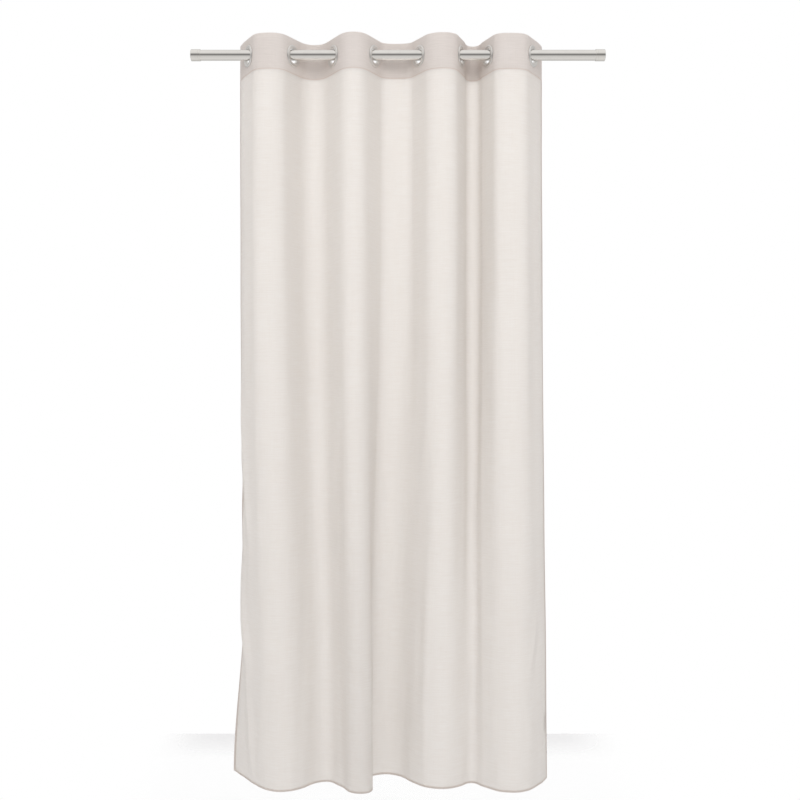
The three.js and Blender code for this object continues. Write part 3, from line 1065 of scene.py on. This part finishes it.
def makeHeader():
    stops = spread(0, panel["width"], panel["columns"])
    heights = spread(top, headerLow, panel["headerRows"])
    front, back = layers["rearInner"], layers["rear"]
    facing = clothSlab("headerFacing", stops, heights, front, back, finishes["cloth"], True)
    onCurtain(facing, "header_facing")
    inside = spread(1 * mm, panel["width"] - 1 * mm, panel["columns"])
    lower = spread(top - 1 * mm, headerLow + 0.5 * mm, panel["headerRows"])
    tape = clothSlab("headerTape", inside, lower, layers["tape"], -layers["tape"], finishes["tape"], True)
    onCurtain(tape, "header_stiffener", slot="header_tape")
    return facing, tape


def makeHems():
    found = []
    low = bottom + hems["bottom"]
    front, back = layers["hemFront"], layers["hemBack"]
    for name, start in (("Left", 0.0), ("Right", panel["width"] - hems["side"])):
        stops = spread(start, start + hems["side"], 4)
        heights = spread(headerLow - 0.3 * mm, low + 0.3 * mm, panel["bodyRows"])
        hem = clothSlab("sideHem" + name, stops, heights, front, back, finishes["hem"])
        onCurtain(hem, "side_hem_" + name.lower())
        found.append(hem)
    stops = spread(0, panel["width"], panel["columns"])
    hem = clothSlab("bottomHem", stops, spread(low, bottom, 3), front, back, finishes["hem"])
    onCurtain(hem, "bottom_hem")
    found.append(hem)
    return found


def makeLabel():
    end = panel["width"] - label["fromEdge"]
    low = bottom + label["aboveHem"]
    stops = spread(end - label["width"], end, 8)
    heights = spread(low + label["height"], low, 10)
    tag = clothSlab("careLabel", stops, heights, layers["label"], layers["labelBack"], finishes["satin"])
    onCurtain(tag, "care_label", slot="label_satin")
    return tag


# stitching along the hems and the header

stitching = {"pitch": 4.2 * mm, "length": 3.1 * mm, "thick": 0.28 * mm, "sides": 5}


# one row of lockstitch that follows the cloth, on one side of it
def stitchRow(name, start, end, depth):
    (s0, z0), (s1, z1) = start, end
    total = math.hypot(s1 - s0, z1 - z0)
    ds, dz = (s1 - s0) / total, (z1 - z0) / total
    points, faces = [], []
    sides = stitching["sides"]
    count = int(total / stitching["pitch"])
    for k in range(count):
        at = stitching["pitch"] * (k + 0.5)
        ends = [at - stitching["length"] / 2, at + stitching["length"] / 2]
        a, b = [clothPoint(s0 + ds * d, z0 + dz * d, depth) for d in ends]
        along = (b - a).normalized()
        outward = Vector((along.y, -along.x, 0))
        if outward.length < 0.5:
            s = s0 + ds * at
            outward = clothPoint(s, z0 + dz * at, depth + 1 * mm) - clothPoint(s, z0 + dz * at, depth)
        outward = (outward - along * outward.dot(along)).normalized()
        across = along.cross(outward)
        base = len(points)
        for share, thick in ((0.0, 0.45), (0.25, 1.0), (0.75, 1.0), (1.0, 0.45)):
            centre = a.lerp(b, share)
            for side in range(sides):
                turn = 2 * math.pi * side / sides
                offset = outward * math.cos(turn) * 0.8 + across * math.sin(turn)
                points.append(centre + offset * stitching["thick"] * thick)
        for row in range(3):
            for side in range(sides):
                n = (side + 1) % sides
                i = base + row * sides
                faces.append((i + side, i + n, i + sides + n, i + sides + side))
        faces.append(tuple(base + side for side in reversed(range(sides))))
        faces.append(tuple(base + 3 * sides + side for side in range(sides)))
    mesh = bpy.data.meshes.new(name)
    mesh.from_pydata(points, [], faces)
    metres = mesh.uv_layers.new(name="clothMetres")
    vertices = np.empty(len(mesh.loops), np.int32)
    mesh.loops.foreach_get("vertex_index", vertices)
    flat = np.array([(p.x, top - p.z) for p in points], np.float32)
    metres.data.foreach_set("uv", flat[vertices].ravel())
    mesh.update()
    if signedVolume(mesh) < 0:
        mesh.flip_normals()
    smooth(mesh, 60)
    row = link(name, mesh, finishes["thread"])
    gatherWithCurtain(row)
    return row


def makeStitching():
    rows = []
    face = layers["front"] + 0.12 * mm
    rear = layers["rear"] - 0.12 * mm
    hemRear = layers["hemBack"] - 0.12 * mm
    right = panel["width"]
    seamZ = headerLow + hems["headerSeam"]
    rows.append(stitchRow("headerSeamFace", (2 * mm, seamZ), (right - 2 * mm, seamZ), face))
    rows.append(stitchRow("headerSeamRear", (2 * mm, seamZ), (right - 2 * mm, seamZ), rear))
    hemZ = bottom + hems["bottom"] - 1.5 * mm
    rows.append(stitchRow("bottomHemSeamFace", (2 * mm, hemZ), (right - 2 * mm, hemZ), face))
    rows.append(stitchRow("bottomHemSeamRear", (2 * mm, hemZ), (right - 2 * mm, hemZ), hemRear))
    inner = hems["side"] - 1.5 * mm
    for name, s in (("Left", inner), ("Right", right - inner)):
        high, low = headerLow - 2 * mm, bottom + hems["bottom"] + 2 * mm
        rows.append(stitchRow("side" + name + "SeamFace", (s, high), (s, low), face))
        rows.append(stitchRow("side" + name + "SeamRear", (s, high), (s, low), hemRear))
    return rows


sheet = makePanel()
facing, tape = makeHeader()
sideLeft, sideRight, bottomHem = makeHems()
tag = makeLabel()
print("cloth is hung:", len(sheet.data.polygons), "faces in the panel")
seams = makeStitching()
print("seams are sewn:", len(seams))
